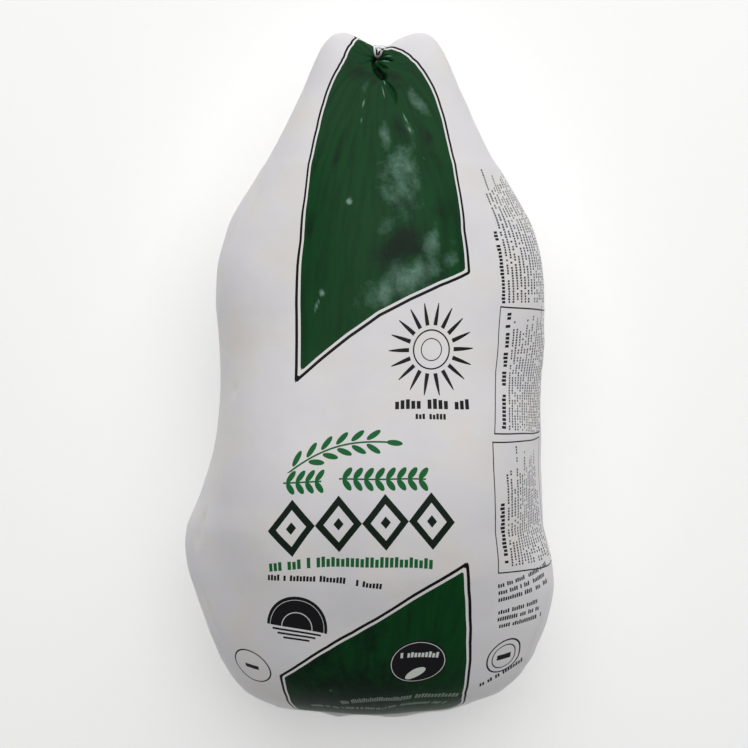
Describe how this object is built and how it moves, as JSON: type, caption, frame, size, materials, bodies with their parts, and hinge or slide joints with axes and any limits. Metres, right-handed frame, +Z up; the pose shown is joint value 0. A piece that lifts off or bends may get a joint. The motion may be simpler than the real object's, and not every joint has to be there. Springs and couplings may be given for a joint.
{
  "type": "whole duck in a shrink bag",
  "caption": "Whole raw duck shut in an opaque white printed shrink bag, lying on its back with its mouth gathered between the legs",
  "frame": {"origin": "on the resting plane, under the middle of the pack's plan", "axes": "+Y runs from the neck end to the leg end, +Z is up out of the breast, +X is to the right seen from above with the legs pointing away"},
  "size_m": [0.1829, 0.3342, 0.1099],
  "materials": {
    "printed_film": "satin",
    "film_tail": "satin",
    "clip_wire": "satin"
  },
  "bodies": {
    "root": {"duck_in_film": "printed_film", "gathered_film_tail": "film_tail", "crimped_clip": "clip_wire"}
  },
  "joints": []
}
